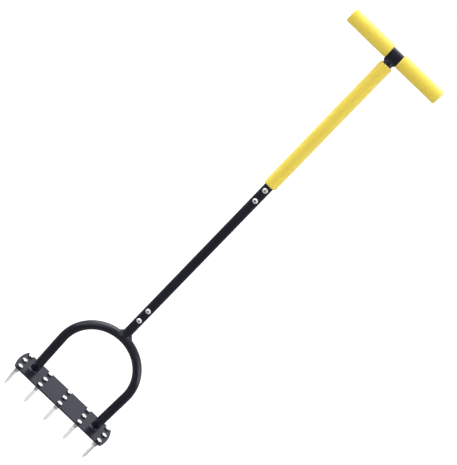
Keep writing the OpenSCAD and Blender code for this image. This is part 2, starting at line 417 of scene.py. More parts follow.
def zinc(name, cool, warm, rough, turned=False, metallic=1.0):
    """Zinc plating: cool and warm patches, a satin shine and, on turned parts, fine rings."""
    look = Look(name, Metallic=metallic)
    patches = look.noise(160.0, detail=4.0)
    look.drive("Base Color", look.blend(look.between(patches, 0.35, 0.65), cool, warm))
    satin = look.noise(420.0, detail=5.0)
    look.drive("Roughness", look.between(satin, 0.3, 0.7, *rough))
    if turned:
        rings = look.noise(1.0, detail=4.0, where=look.stretched((60, 60, 2600)))
        look.bump(rings, 0.04 * MM, 0.6)
    look.bump(look.noise(1900.0), 0.02 * MM, 0.5)
    return look.material


def foam():
    """Yellow closed-cell foam: a soft matt skin with fine pores and slow changes of shade."""
    look = Look("grip_foam_skin", Roughness=0.55, Specular_IOR_Level=0.75, Sheen_Weight=0.35,
                Sheen_Roughness=0.5, Sheen_Tint=(1.0, 0.99, 0.9, 1))
    drift = look.noise(22.0, detail=4.0)
    body = look.blend(look.between(drift, 0.3, 0.7), (0.76, 0.57, 0.032), (0.82, 0.635, 0.048))
    mottle = look.between(look.noise(700.0, detail=5.0, roughness=0.7), 0.35, 0.6)
    mottled = look.blend(mottle, (0.70, 0.52, 0.024), body)
    pores = look.between(look.cells(2600.0), 0.12, 0.4)
    look.drive("Base Color", look.blend(pores, (0.52, 0.38, 0.018), mottled))
    look.bump(look.noise(260.0), 0.3 * MM, 0.45)
    look.bump(look.cells(1500.0), 0.25 * MM, 0.5)
    return look.material


def plastic():
    """Moulded black polyethylene with a waxy, slightly grained face."""
    look = Look("plug_plastic_skin", Specular_IOR_Level=0.45)
    drift = look.noise(90.0)
    look.drive("Base Color", look.blend(drift, (0.012, 0.012, 0.014), (0.022, 0.022, 0.025)))
    look.drive("Roughness", look.between(look.noise(300.0, detail=4.0), 0.3, 0.7, 0.38, 0.55))
    look.bump(look.noise(1400.0, detail=2.0), 0.04 * MM, 0.6)
    return look.material


def nylon():
    """Insert of a lock nut."""
    look = Look("nylon_insert", Specular_IOR_Level=0.5)
    look.drive("Base Color", look.blend(look.noise(500.0), (0.60, 0.62, 0.64), (0.70, 0.71, 0.72)))
    look.drive("Roughness", look.between(look.noise(900.0), 0.3, 0.7, 0.4, 0.5))
    return look.material


# The blue of the paints is in their gloss, as in the tints here
TUBE_PAINT = gloss_paint("tube_paint_black", (0.004, 0.004, 0.008), (0.006, 0.006, 0.012),
                         rough=(0.18, 0.30), specular=0.36, tint=(0.85, 0.88, 1.0))
PLATE_PAINT = gloss_paint("plate_paint_grey", (0.007, 0.007, 0.011), (0.010, 0.010, 0.015),
                          rough=(0.20, 0.30), specular=0.41, tint=(0.58, 0.63, 1.0))
TURNED_ZINC = zinc("spike_zinc", (0.84, 0.85, 0.88), (0.90, 0.89, 0.87), (0.24, 0.40), turned=True)
# The spikes' collars get a darker copy of their zinc: painted shade under the plate
COLLAR_SHADE_ZINC = zinc("collar_painted_shade_zinc", (0.42, 0.43, 0.46), (0.52, 0.51, 0.49), (0.30, 0.45))
PLAIN_ZINC = zinc("fastener_zinc", (0.92, 0.94, 0.97), (0.97, 0.96, 0.94), (0.22, 0.38))
# The thin nuts' flats get a near-black copy of their zinc: painted shade, the faces stay bright
FLATS_SHADE_ZINC = zinc("nut_flats_painted_shade_zinc", (0.10, 0.10, 0.11), (0.15, 0.15, 0.145), (0.35, 0.50))
SATIN_ZINC = zinc("bolt_zinc", (0.62, 0.63, 0.645), (0.66, 0.65, 0.63), (0.60, 0.70), metallic=0.55)
# The bolts' hex sockets get a darker, duller copy of their zinc: painted shade in the recess
SOCKET_SHADE_ZINC = zinc("socket_painted_shade_zinc", (0.24, 0.245, 0.255), (0.30, 0.30, 0.295), (0.45, 0.6))
FOAM = foam()
PLASTIC = plastic()
NYLON = nylon()

# ---- base plate ----

END_BOW = 6 * MM
CORNER_R = 8 * MM
PLATE_EDGE = 0.45 * MM
SPIKE_HOLE_R = 3.2 * MM
END_POINTS = 25
CORNER_POINTS = 11


def plate_outline():
    """Long straight edges, bowed ends and the round corners between them."""
    half_l, half_d = size_of("base_plate").x / 2, size_of("base_plate").y / 2
    bow_r = (half_d**2 + END_BOW**2) / (2 * END_BOW)
    bow_x = half_l - bow_r
    corner_y = half_d - CORNER_R
    corner_x = bow_x + math.sqrt((bow_r - CORNER_R) ** 2 - corner_y**2)
    bow_turn = math.atan2(corner_y, corner_x - bow_x)
    end = []
    for t in np.linspace(-bow_turn, bow_turn, END_POINTS)[1:-1]:
        end.append((bow_x + bow_r * math.cos(t), bow_r * math.sin(t)))
    corner = []
    for t in np.linspace(bow_turn, math.pi / 2, CORNER_POINTS):
        corner.append((corner_x + CORNER_R * math.cos(t), corner_y + CORNER_R * math.sin(t)))
    right = [(x, -y) for x, y in reversed(corner)] + end + corner
    return right + [(-x, -y) for x, y in right]


def flat_spline(curve, points):
    """Adds a closed outline to a flat curve; one inside another makes a hole."""
    spline = curve.splines.new("POLY")
    spline.points.add(len(points) - 1)
    for target, (x, y) in zip(spline.points, points):
        target.co = (x, y, 0, 1)
    spline.use_cyclic_u = True


def base_plate():
    """Flat steel plate with its fifteen holes and slightly rounded edges."""
    curve = bpy.data.curves.new("plate", "CURVE")
    curve.dimensions, curve.fill_mode = "2D", "BOTH"
    curve.bevel_depth, curve.bevel_resolution, curve.offset = PLATE_EDGE, 2, -PLATE_EDGE
    curve.extrude = (PLATE_TOP - PLATE_LOW) / 2 - PLATE_EDGE
    flat_spline(curve, plate_outline())
    for row in ROWS:
        for column in range(COLUMNS):
            at = centre_of(f"spike_{row}_{column + 1}")
            hole = [(at.x + SPIKE_HOLE_R * math.cos(t), at.y + SPIKE_HOLE_R * math.sin(t))
                    for t in circle_angles(32)]
            flat_spline(curve, hole)
    drawn = bpy.data.objects.new("plate", curve)
    bpy.context.scene.collection.objects.link(drawn)
    bpy.context.view_layer.update()
    mesh = bpy.data.meshes.new_from_object(drawn)
    bpy.data.objects.remove(drawn)
    mesh.transform(Matrix.Translation((0, 0, (PLATE_LOW + PLATE_TOP) / 2)))
    mesh.materials.clear()
    mesh.materials.append(PLATE_PAINT)
    obj = bpy.data.objects.new("foot_plate", mesh)
    bpy.context.scene.collection.objects.link(obj)
    dressed(obj, "base_plate", sharp=SHARP_PLATE)


# ---- spikes and nuts ----

SHANK_R = 3.0 * MM
TIP_R = 1.1 * MM
TIP_ROUND = 0.45 * MM
POINT_L = 8 * MM
POINT_ROUND = 8 * MM
COLLAR_FLATS = 8 * MM
COLLAR_H = 10 * MM
COLLAR_FILLET = 0.5 * MM
STUD_R = 2.9 * MM
STUD_END = 0.35 * MM
NUT_FLATS = 10 * MM
NUT_BORE_R = 3.0 * MM
NUT_LEAD = 0.25 * MM


def hex_turn(row, column):
    """Each hexagon ends its tightening at its own angle; the numbers only scatter the angles."""
    return math.radians((row * 37 + column * 23 + 11) % 60)


def spike(row, column):
    """Turned spike from its tip up: point, shank, hexagonal collar and the stud through the plate."""
    node = f"spike_{ROWS[row]}_{column + 1}"
    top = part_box(node)[1].z
    angles = hex_angles(COLLAR_FLATS)
    collar_low = PLATE_LOW - COLLAR_H
    pin = rounded([(0, 0), (TIP_R, 0, TIP_ROUND), (SHANK_R, POINT_L, POINT_ROUND),
                   (SHANK_R, collar_low, COLLAR_FILLET), (COLLAR_FLATS / 2, collar_low)])
    rings = [ring(angles, r, z) for r, z in pin[:-1]]
    collar_start = len(rings) - 1
    rings += hexagon(angles, COLLAR_FLATS, collar_low, PLATE_LOW, bevel_high=False)
    rings.append(ring(angles, STUD_R, PLATE_LOW))
    collar_end = len(rings) - 1
    rings += thread(angles, STUD_R, PLATE_TOP, top - STUD_END)
    rings += [ring(angles, STUD_R - STUD_END, top), ring(angles, 0, top)]
    # The collar's spans take material 1, the darker zinc of painted shade under the plate
    numbers = [int(collar_start <= span < collar_end) for span in range(len(rings))]
    centre = centre_of(node)
    turn = Matrix.Rotation(hex_turn(row, column), 4, "Z")
    part = placed(skin(rings, material=numbers), Matrix.Translation((centre.x, centre.y, 0)) @ turn)
    piece(f"turned_{node}", part, [TURNED_ZINC, COLLAR_SHADE_ZINC], node, bevel=HEX_BEVEL)


def thin_nut(height):
    """Thin nut along Z from its seat; material 1, a darker zinc of painted shade, is on its flats and
    its lower bevel.
    """
    angles = hex_angles(NUT_FLATS)
    rings = hexagon(angles, NUT_FLATS, 0, height)
    rings += [ring(angles, NUT_BORE_R + NUT_LEAD, height), ring(angles, NUT_BORE_R, height - NUT_LEAD),
              ring(angles, NUT_BORE_R, NUT_LEAD), ring(angles, NUT_BORE_R + NUT_LEAD, 0)]
    side_spans = 2
    numbers = [int(span < side_spans) for span in range(len(rings))]
    return skin(rings, closed=True, material=numbers)


def row_nuts(row):
    """The five nuts on the studs of one row."""
    node = f"{ROWS[row]}_row_nuts"
    nut = thin_nut(size_of(node).z)
    nuts = []
    for column in range(COLUMNS):
        at = centre_of(f"spike_{ROWS[row]}_{column + 1}")
        turn = Matrix.Rotation(hex_turn(column, row), 4, "Z")
        nuts.append(placed(nut, Matrix.Translation((at.x, at.y, PLATE_TOP)) @ turn))
    piece(f"{ROWS[row]}_row_thin_nuts", joined(nuts), [PLAIN_ZINC, FLATS_SHADE_ZINC], node,
          bevel=HEX_BEVEL)


# ---- tubes ----

# Rounding of a tube's cut end
RIM = 0.35 * MM
BORE_R = TUBE_R - TUBE_WALL
SWAGE_R = BORE_R - 0.05 * MM
ARCH_TUBE_R = TUBE_R - 0.1 * MM
TUBE_SIDES = 96
# How far a coped tube end goes into the tube it is welded to
SEAT_LAP = 0.3 * MM
COPE_LAP = 0.2 * MM
# Extra rings at these distances from a socket's mouth keep the shading even round the bolt holes
STUB_RINGS = (8 * MM, 50 * MM)
STEM_RINGS = (8 * MM, 50 * MM, 56 * MM)


def wall(outer, inner):
    """A closed tube wall: its outer profile from low to high, then its inner one back down."""
    return skin(lathe(rounded(outer + inner, closed=True), TUBE_SIDES), closed=True)


def seat_height(x, y):
    """Height just inside the arch's upper surface over the point (x, y)."""
    over = np.sqrt(np.maximum((ARCH_TUBE_R - SEAT_LAP) ** 2 - y**2, 0))
    return ARCH_Z + np.sqrt((ARCH_R + over) ** 2 - x**2)


def socket_stub():
    """Short upright tube, coped to sit on the arch, with its socket end open upwards."""
    angles = circle_angles(TUBE_SIDES)
    rim = rounded([(TUBE_R, CREST_Z), (TUBE_R, LOWER_JOINT_Z, RIM), (BORE_R, LOWER_JOINT_Z, RIM),
                   (BORE_R, CREST_Z)])[1:-1]
    extra = [LOWER_JOINT_Z - down for down in STUB_RINGS]
    outside = [ring(angles, TUBE_R, z) for z in reversed(extra)]
    mouth = [ring(angles, r, z) for r, z in rim]
    inside = [ring(angles, BORE_R, z) for z in extra]
    outer_seat, inner_seat = (ring(angles, r, seat_height(r * np.cos(angles), r * np.sin(angles)))
                              for r in (TUBE_R, BORE_R))
    part = skin([outer_seat] + outside + mouth + inside + [inner_seat], closed=True)
    drilled(piece("stub_tube", part, [TUBE_PAINT], "socket_stub"), "lower_joint_bolts")


def middle_tube():
    """Shaft tube whose swaged ends slide into the sockets above and below."""
    low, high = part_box("middle_tube")
    neck = 2 * MM
    shoulder = 0.6 * MM
    band = 8 * MM
    outer = [(SWAGE_R, low.z, RIM), (SWAGE_R, LOWER_JOINT_Z), (TUBE_R, LOWER_JOINT_Z, shoulder),
             (TUBE_R, LOWER_JOINT_Z + band), (TUBE_R, UPPER_JOINT_Z - band),
             (TUBE_R, UPPER_JOINT_Z, shoulder), (SWAGE_R, UPPER_JOINT_Z), (SWAGE_R, high.z, RIM)]
    bore = SWAGE_R - TUBE_WALL
    inner = [(bore, high.z, RIM), (bore, UPPER_JOINT_Z - neck), (BORE_R, UPPER_JOINT_Z - 2 * neck),
             (BORE_R, LOWER_JOINT_Z + 2 * neck), (bore, LOWER_JOINT_Z + neck), (bore, low.z, RIM)]
    obj = piece("shaft_tube", wall(outer, inner), [TUBE_PAINT], "middle_tube")
    drilled(obj, "lower_joint_bolts", "upper_joint_bolts")


def handle_tube():
    """Upper tube: an open socket below, coped round the crossbar at its top."""
    angles = circle_angles(TUBE_SIDES)
    rim = rounded([(BORE_R, HANDLE_Z), (BORE_R, UPPER_JOINT_Z, RIM), (TUBE_R, UPPER_JOINT_Z, RIM),
                   (TUBE_R, HANDLE_Z)])[1:-1]
    extra = [UPPER_JOINT_Z + up for up in STEM_RINGS]
    inside = [ring(angles, BORE_R, z) for z in reversed(extra)]
    mouth = [ring(angles, r, z) for r, z in rim]
    outside = [ring(angles, TUBE_R, z) for z in extra]
    cope = []
    for r in (BORE_R, TUBE_R):
        saddle = np.sqrt(CROSSBAR_R**2 - (r * np.sin(angles)) ** 2)
        cope.append(ring(angles, r, HANDLE_Z - saddle + COPE_LAP))
    part = skin([cope[0]] + inside + mouth + outside + [cope[1]], closed=True)
    drilled(piece("stem_tube", part, [TUBE_PAINT], "handle_tube"), "upper_joint_bolts")


def crossbar_tube():
    """Plain tube across the top, open at both ends."""
    half = size_of("crossbar_tube").x / 2
    bore = CROSSBAR_R - TUBE_WALL
    part = wall([(CROSSBAR_R, -half, RIM), (CROSSBAR_R, half, RIM)],
                [(bore, half, RIM), (bore, -half, RIM)])
    part = placed(part, Matrix.Translation((0, 0, HANDLE_Z)) @ along_x(1))
    piece("handle_crossbar", part, [TUBE_PAINT], "crossbar_tube")


# ---- arch ----

BEND_STEPS = 72
# A bent tube gets narrower in the plane of its bend, and wider across it by a share of that
FLATTENING = 0.15 * MM
WIDENING = 0.6
# Stations down a leg: distance below the bend, and share of the flattening there
LEG_STATIONS = ((18 * MM, 0), (9 * MM, 0.3))
# The flattening starts at this share where the bend starts, and grows by this much per radian
FIRST_SHARE, SHARE_GROWTH = 0.5, 4


def arch_path():
    """Stations along the arch's middle line from its left foot to its right: point, way, flattening."""
    foot_drop = (ARCH_Z - ARCH_R * math.sin(LEG_LEAN) - PLATE_TOP) / math.cos(LEG_LEAN)
    stations = []
    left_top = Vector((-ARCH_R * math.cos(LEG_LEAN), 0, ARCH_Z - ARCH_R * math.sin(LEG_LEAN)))
    way = Vector((-math.sin(LEG_LEAN), 0, math.cos(LEG_LEAN)))
    for back, share in ((foot_drop, 0), (foot_drop / 2, 0), *LEG_STATIONS):
        stations.append((left_top - way * back, way, share))
    for turn in np.linspace(math.pi + LEG_LEAN, -LEG_LEAN, BEND_STEPS + 1):
        point = Vector((ARCH_R * math.cos(turn), 0, ARCH_Z + ARCH_R * math.sin(turn)))
        from_leg = min(math.pi + LEG_LEAN - turn, turn + LEG_LEAN)
        eased = min(1, FIRST_SHARE + SHARE_GROWTH * from_leg)
        stations.append((point, Vector((math.sin(turn), 0, -math.cos(turn))), eased))
    right_leg = []
    for point, way, share in reversed(stations[:2 + len(LEG_STATIONS)]):
        right_leg.append((Vector((-point.x, 0, point.z)), Vector((way.x, 0, -way.z)), share))
    return stations + right_leg


def arch_tube():
    """Bent tube: a little flatter in its bend, cut level at its feet."""
    angles = circle_angles(64)
    skins = []
    for radius in (TUBE_R, BORE_R):
        rings = []
        for index, (point, way, share) in enumerate(ARCH_PATH):
            across = Vector((way.z, 0, -way.x))
            flat, tall = radius - FLATTENING * share, radius + FLATTENING * WIDENING * share
            points = (np.array(point) + np.outer(flat * np.cos(angles), np.array(across))
                      + np.outer(tall * np.sin(angles), (0, 1, 0)))
            if index in (0, len(ARCH_PATH) - 1):
                slide = (PLATE_TOP - points[:, 2]) / way.z
                points = points + np.outer(slide, np.array(way))
            rings.append(points)
        skins.append(rings)
    part = skin(skins[0] + skins[1][::-1], closed=True)
    piece("foot_arch", part, [TUBE_PAINT], "arch_tube")


ARCH_PATH = arch_path()

# ---- welds ----


def cylinder_distance(point, way, radius):
    """Distance function of an endless cylinder."""
    point, way = np.array(point, float), np.array(way, float) / np.linalg.norm(way)

    def distance(p):
        off = p - point
        return np.linalg.norm(off - (off @ way)[..., None] * way, axis=-1) - radius
    return distance


def bend_distance(p):
    """Distance to the outside of the arch's bend."""
    flat = np.hypot(p[..., 0], p[..., 2] - ARCH_Z) - ARCH_R
    return np.hypot(flat, p[..., 1]) - ARCH_TUBE_R


def level_distance(z):
    """Distance function of everything below a height."""
    return lambda p: p[..., 2] - z


def cut_below(distance, z):
    """The same distance function, without what is below a height."""
    return lambda p: np.maximum(distance(p), z - p[..., 2])


def cut_above(distance, z):
    """The same distance function, without what is above a height."""
    return lambda p: np.maximum(distance(p), p[..., 2] - z)


COARSE_STEPS = 60
HALVINGS = 24


def first_hit(origin, ways, field, reach):
    """How far along each ray the field first turns positive: coarse steps, then halving."""
    steps = np.linspace(0, reach, COARSE_STEPS)
    low, high = np.zeros(ways.shape[:-1]), np.full(ways.shape[:-1], float(reach))
    found = np.zeros(ways.shape[:-1], bool)
    for a, b in zip(steps[:-1], steps[1:]):
        outside = field(origin + ways * b) > 0
        fresh = outside & ~found
        low[fresh], high[fresh] = a, b
        found |= outside
    for _ in range(HALVINGS):
        middle = (low + high) / 2
        outside = field(origin + ways * middle[..., None]) > 0
        high, low = np.where(outside, middle, high), np.where(outside, low, middle)
    return high


BEAD_SIDES = 240
BEAD_ROWS = 16
BEAD_ROOT = 1.0 * MM
RAY_REACH = 4 * TUBE_R
# Tilts at which the rays look for the two surfaces, and how many neighbouring points smooth an edge
SCAN = np.radians(np.linspace(-85, 85, 341))
SMOOTHING = 9
# Share by which a bead's width wanders and its ripples rise, and the height taken as level
WANDER = 0.10
RIPPLE = 0.10
RIPPLE_LEVEL = 0.6
# How far a ripple's crescent sags behind at the bead's edges, in ripples
CRESCENT = 0.9
# Exponent of the blend between the two surfaces, and its height as a share of the width
BLEND_POWER = 1.6
BLEND_HEIGHT = 1 / 4


def smoothed(edge):
    """Running mean round a closed edge."""
    half = SMOOTHING // 2
    wrapped = np.concatenate([edge[-half:], edge, edge[:half]])
    return np.convolve(wrapped, np.ones(SMOOTHING) / SMOOTHING, "valid")


def bead(name, node, height, first, second, size, fullness, ripples, seed, centre=(0, 0),
         side_limit=None):
    """A weld bead in the corner between two surfaces, as rays from inside both of them find it.

    first and second are the surfaces' distance functions. size(angle) is how far the bead reaches from
    the corner on both. The rays start at the given height over centre, and side_limit keeps the bead's
    x between two grips.
    """
    origin = np.array((*centre, height), float)
    turns = circle_angles(BEAD_SIDES)
    wander = [noise.noise(Vector((3 * math.cos(t), 3 * math.sin(t), seed))) for t in turns]
    widths = np.array([size(t) * (1 + WANDER * w) for t, w in zip(turns, wander)])
    level = ring(turns, 1, 0)

    def rays(tilts):
        return np.cos(tilts)[..., None] * level + np.sin(tilts)[..., None] * np.array((0, 0, 1))

    gaps = []
    for tilt in SCAN:
        ways = rays(np.full(BEAD_SIDES, tilt))
        far = first_hit(origin, ways, lambda p: np.minimum(first(p), second(p)), RAY_REACH)
        hit = origin + ways * far[:, None]
        gaps.append(first(hit) - second(hit))
    lows, highs = np.empty(BEAD_SIDES), np.empty(BEAD_SIDES)
    for j, near in enumerate(np.abs(np.array(gaps)).T):
        inside = near < widths[j]
        low = high = int(near.argmin())
        while low > 0 and inside[low - 1]:
            low -= 1
        while high < len(SCAN) - 1 and inside[high + 1]:
            high += 1
        lows[j], highs[j] = SCAN[low], SCAN[high]
    lows, highs = smoothed(lows), smoothed(highs)
    rings = []
    for share in np.arange(BEAD_ROWS + 1) / BEAD_ROWS:
        ways = rays(lows + (highs - lows) * share)
        crescent = ripples * turns / (2 * math.pi) + CRESCENT * (2 * share - 1) ** 2
        wave = 1 - np.abs(2 * (crescent % 1) - 1) ** 2
        rise = fullness * (1 + RIPPLE * (wave - RIPPLE_LEVEL) if ripples else 1)

        def surface(p):
            a, b = first(p), second(p)
            blend = np.maximum(widths - np.abs(a - b), 0) / widths
            return np.minimum(a, b) - blend**BLEND_POWER * widths * BLEND_HEIGHT * rise
        rings.append(origin + ways * first_hit(origin, ways, surface, RAY_REACH)[:, None])
    low_root = rings[0] - rays(lows) * BEAD_ROOT
    high_root = rings[-1] - rays(highs) * BEAD_ROOT
    rings = [low_root, *rings, high_root]
    if side_limit:
        for points in rings:
            points[:, 0] = np.clip(points[:, 0], -side_limit, side_limit)
    piece(name, skin(rings, closed=True), [TUBE_PAINT], node, sharp=SHARP_SOFT_PIECE)


def reaches(right, left, across, power):
    """A bead's size by angle: to the right, to the left, and in front and behind."""
    def size(turn):
        sideways = abs(math.cos(turn)) ** power
        outward = right if math.cos(turn) > 0 else left
        return outward * sideways + across * (1 - sideways)
    return size


def welds():
    """The beads under the stub, under the crossbar and round both feet of the arch."""
    upright = cylinder_distance((0, 0, 0), (0, 0, 1), TUBE_R)
    bar = cylinder_distance((0, 0, HANDLE_Z), (1, 0, 0), CROSSBAR_R)
    bead("stub_weld_bead", "stub_weld", CREST_Z + TUBE_R - 3 * MM, cut_below(upright, CREST_Z),
         bend_distance, reaches(9.5 * MM, 7.5 * MM, 5 * MM, 1.5), fullness=1.0, ripples=0, seed=1.7)
    bead("crossbar_weld_bead", "crossbar_weld", HANDLE_Z - CROSSBAR_R + 2 * MM,
         cut_above(upright, HANDLE_Z), bar, reaches(6.5 * MM, 8.5 * MM, 2.6 * MM, 3),
         fullness=1.9, ripples=34, seed=4.1, side_limit=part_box("right_grip")[0].x - 0.2 * MM)
    for side, word in SIDES:
        foot, way, _ = ARCH_PATH[0 if side < 0 else -1]
        leg = cylinder_distance(foot, way, TUBE_R)
        bead(f"{word}_leg_weld_bead", f"{word}_leg_weld", foot.z - 0.5 * MM, leg,
             level_distance(PLATE_TOP), lambda turn: 3.4 * MM, fullness=1.4, ripples=30,
             seed=7.3 + side, centre=foot.xy)


# ---- foam grips and plugs ----

FOAM_ROUND = 2.5 * MM
FOAM_BORE_ROUND = 0.6 * MM
FOAM_SIDES = 112
FOAM_MESH = 1.6 * MM
# Near the bore the foam has no fine mesh, and it doesn't swell where it grips the tube
FINE_FROM = 1 * MM
SWELL_FROM = 0.5 * MM
# Slow and quick unevenness of the skin, in mm, by their frequencies per mm; the foam shrinks a little,
# so that its swellings stay inside its box
SLOW, SLOW_SWELL = 0.035, 0.22
QUICK, QUICK_SWELL = 0.25, 0.05
SHRINK = 0.12


def foam_sleeve(name, node, bore, length, outer_r, matrix, seed):
    """A foam tube with soft ends and a slightly uneven skin."""
    corners = [(bore, 0, FOAM_BORE_ROUND), (outer_r, 0, FOAM_ROUND), (outer_r, length, FOAM_ROUND),
               (bore, length, FOAM_BORE_ROUND)]
    outline = rounded(corners, closed=True, steps=7)
    dense = []
    for a, b in zip(outline, outline[1:] + outline[:1]):
        on_skin = min(a[0], b[0]) > bore + FINE_FROM
        pieces = max(1, round(np.linalg.norm(b - a) / FOAM_MESH)) if on_skin else 1
        dense += [a + (b - a) * step / pieces for step in range(pieces)]
    angles = circle_angles(FOAM_SIDES)
    rings = []
    for r, z in dense:
        points = ring(angles, r, z)
        if r > bore + SWELL_FROM:
            for point in points:
                spot = Vector(point) / MM
                swell = noise.noise(spot * SLOW + Vector((seed, 0, 0))) * SLOW_SWELL
                swell += noise.noise(spot * QUICK + Vector((0, seed, 0))) * QUICK_SWELL
                swell -= SHRINK
                point[:2] *= 1 + swell * MM / r
        rings.append(points)
    part = placed(skin(rings, closed=True), matrix)
    obj = piece(name, part, [FOAM], node, sharp=SHARP_SOFT_PIECE)


def grips():
    """Foam on the stem and on both halves of the crossbar."""
    low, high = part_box("stem_grip")
    place = Matrix.Translation((0, 0, low.z))
    foam_sleeve("stem_foam", "stem_grip", TUBE_R, high.z - low.z, high.x, place, 3.1)
    for side, word in SIDES:
        node = f"{word}_grip"
        low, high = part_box(node)
        start = low.x if side > 0 else high.x
        place = Matrix.Translation((start, 0, HANDLE_Z)) @ along_x(side)
        foam_sleeve(f"{word}_foam", node, CROSSBAR_R, high.x - low.x, high.y, place, 11.7 * side)


def end_plug(side, word):
    """Plug in an open end of the crossbar: a stem inside, and a flange with a shallow dimple."""
    node = f"{word}_end_plug"
    low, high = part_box(node)
    flange, gap = 2 * MM, 0.1 * MM
    stem_r = CROSSBAR_R - TUBE_WALL - gap
    length = high.x - low.x
    profile = rounded([(0, 0.5 * MM), (2.2 * MM, 0.5 * MM, 0.4 * MM), (3.0 * MM, 0.15 * MM, 0.4 * MM),
                       (CROSSBAR_R - 2.2 * MM, 0.0, 1.5 * MM), (CROSSBAR_R, 0.9 * MM, 0.7 * MM),
                       (CROSSBAR_R, flange, 0.2 * MM), (stem_r, flange), (stem_r, length, 0.6 * MM),
                       (0, length)])
    face = high.x if side > 0 else low.x
    place = Matrix.Translation((face, 0, HANDLE_Z)) @ along_x(-side)
    piece(f"{word}_plug", placed(skin(lathe(profile)), place), [PLASTIC], node)


# ---- joint fasteners ----

BOLT_R = 3.0 * MM
BOLT_END = 0.8 * MM
THREAD_L = 12 * MM
HEAD_H = 3.3 * MM
HEAD_RIM = 0.5 * MM
HEAD_TOP_R = 2.9 * MM
DOME_STEPS = 11
SOCKET_FLATS = 4 * MM
SOCKET_DEPTH = 2 * MM
SOCKET_LEAD = 0.2 * MM
DRILL_POINT = 0.35 * MM
LOCK_NUT_FLATS = 10 * MM
# The share of a lock nut's height that is a hexagon, the radii of the collar over it and of its mouth
HEX_SHARE = 0.77
COLLAR_R, LIP_R = 4.4 * MM, 3.75 * MM


def button_bolt(length, head_r):
    """Button-head bolt along Z, its seat at z = 0, with a hexagonal socket and a threaded end."""
    angles = hex_angles(SOCKET_FLATS)
    socket = hex_reach(angles, SOCKET_FLATS)
    rings = [ring(angles, 0, -length), ring(angles, BOLT_R - BOLT_END, -length)]
    rings += thread(angles, BOLT_R, BOLT_END / 2 - length, THREAD_L - length)
    rings += [ring(angles, BOLT_R, -1 * MM)]
    rings += [ring(angles, r, z) for r, z in rounded(
        [(BOLT_R, -1 * MM), (BOLT_R, 0, 0.3 * MM), (head_r, 0, 0.15 * MM), (head_r, HEAD_RIM)])[1:]]
    middle = (HEAD_TOP_R**2 + HEAD_H**2 - head_r**2 - HEAD_RIM**2) / (2 * (HEAD_H - HEAD_RIM))
    dome = math.hypot(head_r, HEAD_RIM - middle)
    low_turn = math.asin((HEAD_RIM - middle) / dome)
    high_turn = math.asin((HEAD_H - middle) / dome)
    for turn in np.linspace(low_turn, high_turn, DOME_STEPS)[1:]:
        rings.append(ring(angles, dome * math.cos(turn), middle + dome * math.sin(turn)))
    rings += [ring(angles, socket + SOCKET_LEAD, HEAD_H), ring(angles, socket, HEAD_H - SOCKET_LEAD)]
    # The socket's walls and floor take material 1, the darker zinc of painted shade in the recess
    outside = len(rings) - 1
    floor_z = HEAD_H - SOCKET_DEPTH
    rings += [ring(angles, socket, floor_z), ring(angles, 0.4 * socket, floor_z - DRILL_POINT),
              ring(angles, 0, floor_z - DRILL_POINT)]
    return skin(rings, material=[0] * outside + [1] * (len(rings) - outside))


def lock_nut(height):
    """Lock nut along Z from its seat: a hexagon, a rolled collar and the insert inside it."""
    angles = hex_angles(LOCK_NUT_FLATS)
    hex_h = HEX_SHARE * height
    bore = BOLT_R + 0.05 * MM
    rings = hexagon(angles, LOCK_NUT_FLATS, 0, hex_h)
    mouth = height - 0.35 * MM
    body = rounded([(LOCK_NUT_FLATS / 2, hex_h), (COLLAR_R, hex_h, 0.2 * MM),
                    (COLLAR_R, height, 0.7 * MM), (LIP_R, height, 0.12 * MM), (LIP_R, mouth)])[1:]
    rings += [ring(angles, r, z) for r, z in body]
    metal = len(rings) - 1
    insert = [(bore + 0.25 * MM, mouth), (bore, height - 0.6 * MM)]
    rings += [ring(angles, r, z) for r, z in insert]
    rings += [ring(angles, bore, 0.5 * MM), ring(angles, bore + 0.5 * MM, 0)]
    numbers = [0] * metal + [1] * len(insert) + [0] * (len(rings) - metal - len(insert))
    return skin(rings, closed=True, material=numbers)


def joint(place):
    """The two bolts of a joint and their lock nuts, each turned by an angle of its own."""
    bolts, nuts = f"{place}_joint_bolts", f"{place}_joint_nuts"
    bolt = button_bolt(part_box(bolts)[1].y + TUBE_R, size_of(bolts).x / 2)
    nut = lock_nut(size_of(nuts).y)
    many_bolts, many_nuts = [], []
    for z in bolt_heights(bolts):
        turn = Matrix.Rotation(math.radians(z / MM), 4, "Z")
        many_bolts.append(placed(bolt, Matrix.Translation((0, -TUBE_R, z)) @ ALONG_MINUS_Y @ turn))
        many_nuts.append(placed(nut, Matrix.Translation((0, TUBE_R, z)) @ ALONG_Y @ turn))
    piece(f"{place}_button_bolts", joined(many_bolts), [SATIN_ZINC, SOCKET_SHADE_ZINC], bolts,
          bevel=HEAD_BEVEL)
    piece(f"{place}_lock_nuts", joined(many_nuts), [PLAIN_ZINC, NYLON], nuts,
          bevel=HEX_BEVEL)


# ---- the whole object ----


def build():
    """Every piece, from the plate up."""
    base_plate()
    for row in range(len(ROWS)):
        for column in range(COLUMNS):
            spike(row, column)
        row_nuts(row)
    arch_tube()
    socket_stub()
    middle_tube()
    handle_tube()
    crossbar_tube()
    welds()
    grips()
    for side, word in SIDES:
        end_plug(side, word)
    for place in ("lower", "upper"):
        joint(place)


# ---- studio ----

VIEW_AZIMUTH = math.radians(1.331)
VIEW_PITCH = math.radians(15.299)
VIEW_ROLL = math.radians(44.117)
VIEW_DISTANCE = 1.90635
VIEW_AIM = Vector((0.00527, 0, 0.535475))
LENS = 78.49
SENSOR = 36


